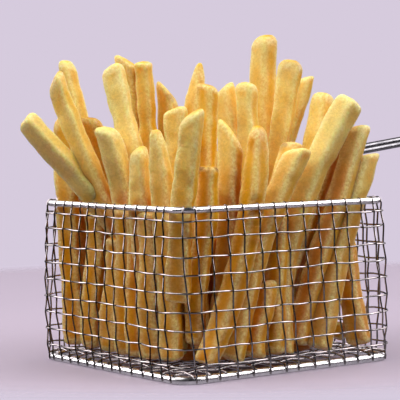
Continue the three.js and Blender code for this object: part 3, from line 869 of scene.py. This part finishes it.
def keep_in(point):
    """Holds a point of a fry off the floor mesh, the rim rod and the walls."""
    if point.z > RIM_LEVEL + RIM_ZONE:
        return point
    near_rim = 1 - smooth(RIM_ZONE_FULL, RIM_ZONE, abs(point.z - RIM_LEVEL))
    clear = lerp(WALL_CLEAR, RIM_CLEAR, near_rim)
    length, width, shift = section_at(clamp(point.z - BASE_LEVEL, 0, WALL_HEIGHT))
    limit_x, limit_y = length / 2 - clear, width / 2 - clear
    x, y = clamp(point.x - shift, -limit_x, limit_x), clamp(point.y, -limit_y, limit_y)
    flat_x, flat_y = limit_x - CORNER_RADIUS, limit_y - CORNER_RADIUS
    over_x, over_y = abs(x) - flat_x, abs(y) - flat_y
    reach = math.hypot(over_x, over_y)
    if min(over_x, over_y) > 0 and reach > CORNER_RADIUS:
        x = math.copysign(flat_x + over_x * CORNER_RADIUS / reach, x)
        y = math.copysign(flat_y + over_y * CORNER_RADIUS / reach, y)
    return Vector((x + shift, y, max(point.z, LOWEST)))


print("a point far outside is held at", [round(c, 1) for c in keep_in(Vector((99, 99, 0)))])

# %% Neighbours
NEIGHBOUR_REACH, FAR_AWAY = 15, 9.0
TOUCHING, IN_THE_OPEN = -0.5, 4.5
OPEN_FROM, OPEN_TO, TIP_SHARE = 68, 95, 0.4


def stick(fry):
    """Foot, direction, length and half width of a fry in the basket's frame."""
    foot, tip = [Vector((*from_ranks(*end[:2]), end[2])) for end in (fry["foot"], fry["tip"])]
    return foot, (tip - foot).normalized(), (tip - foot).length, fry["width"] / 2


def neighbours_of(fry, fries):
    """The sticks of all fries that come near this one."""
    near = []
    for other in fries:
        s, t = closest_shares(fry, other)
        apart = math.dist(point_at(fry, s), point_at(other, t))
        if other is not fry and apart < NEIGHBOUR_REACH:
            near.append(stick(other))
    return near


def painted_shade(point, near):
    """Painted shade: 1 where a point touches another fry and 0 in the open. The tips get less of it.
    """
    gap = FAR_AWAY
    for foot, up, length, half in near:
        along = clamp((point - foot).dot(up), 0, length)
        gap = min(gap, (point - foot - up * along).length - half)
    close = 1 - smooth(TOUCHING, IN_THE_OPEN, gap)
    return close * lerp(1.0, TIP_SHARE, smooth(OPEN_FROM, OPEN_TO, point.z))


print("the first fry has", len(neighbours_of(shown[0], shown + fillers)), "neighbours")

# %% Fry shape
END_RINGS = 6
RIGHT = Vector((TURN_COS, -TURN_SIN, 0.0))
TWIST, SWAY, LEAN_AWAY = math.radians(24), 1.4, 1.6
SWELL, SWELL_CELL = 0.17, 15
THICKEN, THICKEN_CELL = 0.09, 14
RELIEF, RELIEF_CELL = 0.75, 6.5
FINE_RELIEF, FINE_CELL = 0.3, 2.4
END_RELIEF, END_CELL = 0.5, 3.1
# Painted shade adds tone on the faces turned right and low in the basket; painted light takes tone
# off the faces turned to the front.
RIGHT_FACE_SHADE, FRONT_FACE_LIGHT, LOW_SHADE_TONE, LOW_SHADE_SHARE = 0.16, -0.1, 0.4, 0.5


def stations_of(length, tip_round, foot_round, power, rings):
    """For every ring from tip to foot: its place along the fry and how full its section is."""
    stations = []
    for j in range(rings + 1):
        from_end = min(j, rings - j)
        if from_end > END_RINGS:
            share = (j - END_RINGS) / (rings - 2 * END_RINGS)
            stations.append((lerp(length - tip_round, foot_round, share), 1.0))
            continue
        angle = from_end / END_RINGS * math.pi / 2
        inset = (tip_round if j <= END_RINGS else foot_round) * (1 - math.cos(angle) ** power)
        stations.append((length - inset if j <= END_RINGS else inset, math.sin(angle) ** power))
    return stations


def add_fry(bm, layers, fry, near, sides, rings, salt):
    """Adds one fry to the mesh, with its tone, edge, brown and painted shade values on its points.
    """
    tone_layer, edge_layer, brown_layer, painted_shade_layer = layers
    foot, up, length, _ = stick(fry)
    right = (RIGHT - up * RIGHT.dot(up)).normalized()
    away = up.cross(right)
    turn = math.radians(fry["turn"])
    chance = [noise.cell(Vector((salt, k, 0.5))) for k in range(8)]
    aspect = 0.86 + 0.2 * chance[0]
    size = fry["width"] * 0.515 / widest(1.0, aspect, turn)
    twist = TWIST * (chance[1] - 0.5)
    sway = SWAY * (chance[2] - 0.5)
    lean_away = LEAN_AWAY * (chance[3] - 0.5)
    tip_round = size * (0.35 + 0.15 * chance[4] + 1.0 * fry["blunt"] + 1.0 * fry["taper"])
    foot_round = size * (0.6 + 0.4 * chance[5])
    power = 2 / (3.6 - 1.2 * fry["blunt"])
    stations = stations_of(length, tip_round, foot_round, power, rings)
    shift = Vector((salt * 13.7, salt * 5.1, salt * 9.3))
    ball = bmesh.ops.create_uvsphere(bm, u_segments=sides, v_segments=rings, radius=1.0)
    for vert in ball["verts"]:
        j = round(math.acos(clamp(vert.co.z, -1.0, 1.0)) * rings / math.pi)
        along, full = stations[j]
        share = along / length
        c = s = grow = 0.0
        if 0 < j < rings:
            flat = math.hypot(vert.co.x, vert.co.y)
            c, s = vert.co.x / flat, vert.co.y / flat
            grow = corner_reach(c, s)
        thinning = 0.8 * smooth(18, 0, length - along) + 0.1 * smooth(0.5, 0.8, share)
        narrow = 1 - fry["taper"] * thinning
        swell = 1 + SWELL * noise.noise(Vector((along / SWELL_CELL, salt * 3.3, 1.2)))
        x = c * grow * size * full * swell * narrow
        y = s * grow * size * aspect * full * (1 - 0.4 * (1 - narrow))
        y *= 1 + THICKEN * noise.noise(Vector((along / THICKEN_CELL, salt * 4.7, 8.1)))
        angle = turn + twist * (share - 0.5)
        p = x * math.cos(angle) - y * math.sin(angle)
        q = x * math.sin(angle) + y * math.cos(angle)
        rise = fry["slant"] * p / size * smooth(0.6, 1.0, share)
        spot = Vector((p, q, along)) + shift
        relief = RELIEF * noise.noise(spot / RELIEF_CELL)
        relief += FINE_RELIEF * noise.noise(spot / FINE_CELL)
        p += c * relief * full
        q += s * relief * full
        rise += END_RELIEF * noise.noise(spot / END_CELL) * (1 - full) * (1 if share > 0.5 else -1)
        bow = 4 * fry["bow"] * share * (1 - share) + sway * math.sin(2 * math.pi * share) * 0.5
        back = 4 * lean_away * share * (1 - share)
        vert.co = keep_in(foot + up * (along + rise) + right * (p + bow) + away * (q + back))
        corner = clamp((grow - 1.0) / 0.2, 0.0, 1.0) ** 1.5 * smooth(0.75, 1.0, full)
        end_edge = smooth(0.55, 0.85, full) * (1 - smooth(0.985, 1.0, full))
        edge = max(corner, end_edge)
        # Painted shade on the faces turned right, painted light on the faces turned to the front.
        side = RIGHT_FACE_SHADE * smooth(0.2, 0.9, c) + FRONT_FACE_LIGHT * smooth(0.2, 0.9, -s)
        # Painted shade: the tone and the shade value grow lower down in the basket.
        vert[tone_layer] = fry["tone"] + side + LOW_SHADE_TONE * (1 - smooth(45, 95, vert.co.z))
        low = LOW_SHADE_SHARE * (1 - smooth(40, 95, vert.co.z))
        vert[painted_shade_layer] = max(painted_shade(vert.co, near), low)
        vert[edge_layer] = edge
        vert[brown_layer] = fry["brown"] * smooth(0.93, 1.0, share) * (0.35 + 0.65 * edge)


print("each end of a fry is rounded over", END_RINGS, "rings")

# %% [markdown]
# ## Fried crust
#
# The crust is golden and uneven: broad blotches a few millimetres across, a fine grain on top,
# paler along the sharp edges as painted highlight, and brown where an edge has caught. Painted
# shade deepens the colour where fries lie together and low in the basket, by the shade value that
# each point carries. Light soaks in a little, so some subsurface scattering warms the shadows.


# %% Crust finish
FRY_LAYERS = ("tone", "edge", "brown", "painted_shade")
BLOTCHES, RIPE_PATCHES, GRAINS, WRINKLES = 130.0, 55.0, 900.0, 520.0
BLOTCH_DEPTH, RIPENESS, PAINTED_SHADE_DEPTH = 0.3, 0.3, 0.72
GRAIN_SHARE, WRINKLE_STRENGTH, WRINKLE_DEPTH = 0.5, 0.42, 0.0007
EDGE_HIGHLIGHT = (0.3, 0.8)
SPECKS = (0.93, 1.07)
ROUGHNESS = (0.5, 0.32)


def crust(name, pale, golden, deep, cream, burnt):
    """Fried crust. The pattern sizes above are in cells per metre."""
    material, nodes, shader = new_material(name)
    place = nodes.new("ShaderNodeTexCoord").outputs["Object"]
    tone, edge, brown, shade_amount = (attribute(nodes, layer) for layer in FRY_LAYERS)
    blotch = remap(nodes, add_noise(nodes, place, BLOTCHES, detail=4.0), 0.36, 0.66)
    grain = add_noise(nodes, place, GRAINS, detail=4.0, roughness=0.75)
    patches = remap(nodes, add_noise(nodes, place, RIPE_PATCHES, detail=2.0), 0.4, 0.62)
    share = math_node(nodes, "MULTIPLY_ADD", blotch, BLOTCH_DEPTH, -BLOTCH_DEPTH / 2)
    share = math_node(nodes, "ADD", share, tone)
    share.node.use_clamp = True
    colour = mix_colours(nodes, share, pale, golden)
    ripe = math_node(nodes, "MULTIPLY", patches, remap(nodes, share, 0.45, 1.0, 0.0, RIPENESS))
    # Painted shade: the shade value mixes towards the deep colour in the gaps between fries and low
    # in the basket.
    painted_shade_mix = math_node(nodes, "MULTIPLY", shade_amount, PAINTED_SHADE_DEPTH)
    for factor in (ripe, painted_shade_mix):
        colour = mix_colours(nodes, factor, colour, deep)
    # Painted highlight: the sharp edges are mixed towards cream, as where they catch the light.
    edge_highlight = remap(nodes, grain, 0.35, 0.65, *EDGE_HIGHLIGHT)
    colour = mix_colours(nodes, math_node(nodes, "MULTIPLY", edge, edge_highlight), colour, cream)
    shade = nodes.new("ShaderNodeHueSaturation")
    set_up(shade, {"Color": colour, "Value": remap(nodes, grain, 0.36, 0.64, *SPECKS)})
    caught = math_node(nodes, "MULTIPLY", brown, remap(nodes, blotch, 0.2, 0.8, 0.4, 1.4))
    caught.node.use_clamp = True
    colour = mix_colours(nodes, caught, shade.outputs["Color"], burnt)
    set_up(shader, {"Base Color": colour, "Roughness": remap(nodes, grain, 0.35, 0.65, *ROUGHNESS),
                    "Subsurface Weight": 0.7, "Subsurface Radius": (1.0, 0.6, 0.25),
                    "Subsurface Scale": 0.004, "Specular IOR Level": 0.18})
    wrinkle = add_noise(nodes, place, WRINKLES, detail=4.0, roughness=0.65)
    height = math_node(nodes, "MULTIPLY_ADD", grain, GRAIN_SHARE, wrinkle)
    add_bump(nodes, shader, height, WRINKLE_STRENGTH, WRINKLE_DEPTH)
    return material


# The deep colour is both the ripe crust's own colour and the colour of the painted shade.
CRUST = crust("fried_potato_crust", pale=linear(249, 222, 132), golden=linear(236, 179, 20),
              deep=linear(194, 92, 2), cream=linear(250, 236, 170), burnt=linear(120, 70, 25))
print("crust finish:", CRUST.name)


# %% Fries in the basket
def fry_piece(name, fries, sides, rings, first_salt):
    """Many fries as one mesh. The salt makes each one a different stick."""
    bm = bmesh.new()
    layers = [bm.verts.layers.float.new(layer) for layer in FRY_LAYERS]
    for number, fry in enumerate(fries):
        near = neighbours_of(fry, shown + fillers)
        add_fry(bm, layers, fry, near, sides, rings, first_salt + number)
    piece = mesh_piece(name, bm, CRUST)
    print(name, len(fries), "fries,", len(piece.data.polygons), "faces")
    return piece


COARSE, FINE = (24, 36), (32, 64)
fries_shown = fry_piece("fries_shown", shown, *FINE, 1)
fries_inside = fry_piece("fries_inside", fillers, *COARSE, 101)

# %% [markdown]
# ## The heap's hidden middle
#
# The basket is packed so densely that no light comes through. A lumpy, ridged block of the same
# crust stands in the middle, well below the tips, so the heap is closed from every side.

# %% Core
CORE_LENGTH, CORE_WIDTH, CORE_HEIGHT, CORE_LEVEL = 54, 52, 43, 26.5
CORE_FOOT, CORE_CUTS = 1.25, 23
RIDGES, LUMPS, TOP_LUMPS = 1.6, 0.4, 7
# The core carries full painted shade, so it shows in the deep shade colour.
CORE_TONE, CORE_PAINTED_SHADE = 0.8, 1.0

core = bmesh.new()
tone_layer, _, _, painted_shade_layer = [core.verts.layers.float.new(layer) for layer in FRY_LAYERS]
bmesh.ops.create_cube(core, size=1.0)
bmesh.ops.subdivide_edges(core, edges=core.edges, cuts=CORE_CUTS, use_grid_fill=True)
for vert in core.verts:
    corner_pull = 1 - 0.25 * (2 * abs(vert.co.x)) ** 6 * (2 * abs(vert.co.y)) ** 6
    level = CORE_LEVEL + vert.co.z * CORE_HEIGHT
    spread = corner_pull * lerp(CORE_FOOT, 1.0, smooth(8, 20, level))
    spot = Vector((vert.co.x * CORE_LENGTH * spread, vert.co.y * CORE_WIDTH * spread, level))
    ridge = RIDGES * noise.noise(Vector((spot.x / 5, spot.y / 5, spot.z / 30)))
    ridge += LUMPS * noise.noise(spot / 2.5)
    side = Vector((spot.x, spot.y, 0)).normalized()
    top = TOP_LUMPS * noise.noise(Vector((spot.x / 8, spot.y / 8, 4.4)))
    vert.co = spot + side * ridge + Vector((0, 0, top * smooth(0.3, 0.5, vert.co.z)))
    vert[tone_layer], vert[painted_shade_layer] = CORE_TONE, CORE_PAINTED_SHADE
fries_core = mesh_piece("fries_core", core, CRUST)
for piece in (fries_shown, fries_inside, fries_core):
    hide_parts("fries")
print("core:", len(fries_core.data.polygons), "faces")

# %% [markdown]
# ## Table, backdrop and light
#
# The basket stands on a plain pale table top whose rim melts into an even, pale backdrop. The light
# is soft: a very wide panel overhead and two small ones in front, high on the left and the right.
# A wire shows only what it mirrors, and these have to be dark with white glints. So mirrors see
# surroundings of their own: two tall bright fields, left and right, grey ground and darkness above.

# %% Table
TABLE_COLOUR = linear(181, 168, 183)
BACKDROP = linear(214, 203, 221)
TABLE_RADIUS, TABLE_RING = 0.3, 0.08
FADE_FROM, FADE_TO = TABLE_RADIUS - 0.05, TABLE_RADIUS - 0.004
TABLE_BEHIND = 0.19
VIEW_RIGHT = (math.cos(CAMERA_YAW), -math.sin(CAMERA_YAW), 0.0)
VIEW_AWAY = (math.sin(CAMERA_YAW), math.cos(CAMERA_YAW), 0.0)


def from_view(right, away, up):
    """A place in metres to the right of, behind and above the basket as the camera sees it."""
    return (BASKET_X * MM + right * VIEW_RIGHT[0] + away * VIEW_AWAY[0],
            right * VIEW_RIGHT[1] + away * VIEW_AWAY[1], up)


TABLE_MIDDLE = from_view(0.0, TABLE_BEHIND, 0.0)
disc = bmesh.new()
bmesh.ops.create_circle(disc, cap_ends=True, cap_tris=False, segments=96, radius=TABLE_RADIUS)
bmesh.ops.inset_region(disc, faces=disc.faces, thickness=TABLE_RING)
bmesh.ops.translate(disc, vec=TABLE_MIDDLE, verts=disc.verts)
table_mesh = bpy.data.meshes.new("table_top")
disc.to_mesh(table_mesh)
disc.free()
table = new_object("table_top", table_mesh)
table.visible_glossy = False
print("table top radius", TABLE_RADIUS, "m")

# %% Table's finish
table_finish, nodes, shader = new_material("pale_table")
place = nodes.new("ShaderNodeTexCoord").outputs["Object"]
offset = math_node(nodes, "SUBTRACT", place, TABLE_MIDDLE, kind="ShaderNodeVectorMath")
radius = math_node(nodes, "LENGTH", offset, kind="ShaderNodeVectorMath")
set_up(shader, {"Base Color": TABLE_COLOUR, "Roughness": 0.5, "Specular IOR Level": 0.05,
                "Alpha": remap(nodes, radius, FADE_FROM, FADE_TO, 1.0, 0.0)})
table.data.materials.append(table_finish)
print("the table fades out at", FADE_TO, "m")

# %% Surroundings
WORLD_DARK, WORLD_BACK = (0.006, 0.006, 0.007, 1), (0.3, 0.27, 0.33, 1)
WORLD_TOP = (0.5, 0.49, 0.51, 1)
MIRROR_DARK, MIRROR_GROUND = (0.012, 0.011, 0.013, 1), (0.42, 0.38, 0.43, 1)
MIRROR_FIELDS = (6.5, 6.1, 6.2, 1)

world = bpy.data.worlds.new("surroundings")
bpy.context.scene.world = world
world.use_nodes = True
nodes = world.node_tree.nodes
paths = nodes.new("ShaderNodeLightPath").outputs
direction = nodes.new("ShaderNodeTexCoord").outputs["Generated"]


def along(axis):
    """How far a direction points along a fixed axis, from -1 to 1."""
    return math_node(nodes, "DOT_PRODUCT", direction, axis, kind="ShaderNodeVectorMath")


upwards, behind = along((0, 0, 1)), along(VIEW_AWAY)
sideways = math_node(nodes, "ABSOLUTE", along(VIEW_RIGHT))
print("mirrored fields are", MIRROR_FIELDS[0], "times as bright as white")

# %% What lights and what is mirrored
around = mix_colours(nodes, remap(nodes, behind, 0.1, 0.9), WORLD_DARK, WORLD_BACK)
lit = mix_colours(nodes, remap(nodes, upwards, 0.15, 0.8), around, WORLD_TOP)
# Each edge of the bright fields: the axis, where it starts and ends, and the share at both.
FIELD_EDGES = ((upwards, 0.02, 0.12, 0.0, 1.0), (upwards, 0.68, 0.8, 1.0, 0.1),
               (behind, -0.24, -0.14, 0.0, 1.0), (behind, 0.4, 0.6, 1.0, 0.3))
fields = remap(nodes, sideways, 0.25, 0.45)
for field_edge in FIELD_EDGES:
    fields = math_node(nodes, "MULTIPLY", fields, remap(nodes, *field_edge))
below = remap(nodes, upwards, -0.45, -0.12, 1.0, 0.0)
ground = mix_colours(nodes, below, MIRROR_DARK, MIRROR_GROUND)
mirrored = mix_colours(nodes, fields, ground, MIRROR_FIELDS)
unseen = mix_colours(nodes, paths["Is Glossy Ray"], lit, mirrored)
final = mix_colours(nodes, paths["Is Camera Ray"], unseen, BACKDROP)
feed(final, nodes["Background"].inputs["Color"])
bpy.context.scene.view_settings.view_transform = "Standard"
print("the bright fields have", 2 + len(FIELD_EDGES), "soft edges")


# %% Lights
AIM_HEIGHT = 0.07


def panel(name, place, size, watts, colour=(1, 1, 1)):
    """A square panel of light that faces the heap."""
    data = bpy.data.lights.new(name, "AREA")
    data.shape, data.size = "SQUARE", size
    data.energy, data.color = watts, colour
    lamp = new_object(name, data)
    lamp.location = place
    aim = Vector((BASKET_X * MM, 0, AIM_HEIGHT)) - Vector(place)
    lamp.rotation_euler = aim.to_track_quat("-Z", "Y").to_euler()
    return lamp


panel("key_left", from_view(-0.5, -0.35, 0.7), 0.5, 3.6, (1.0, 0.99, 0.97))
panel("fill_right", from_view(0.7, -0.35, 0.75), 0.5, 4.0, (0.99, 0.99, 1.0))
overhead = panel("overhead", from_view(0.0, 0.15, 0.78), 1.9, 11.5)
overhead.visible_glossy = False
print("three panels of light")
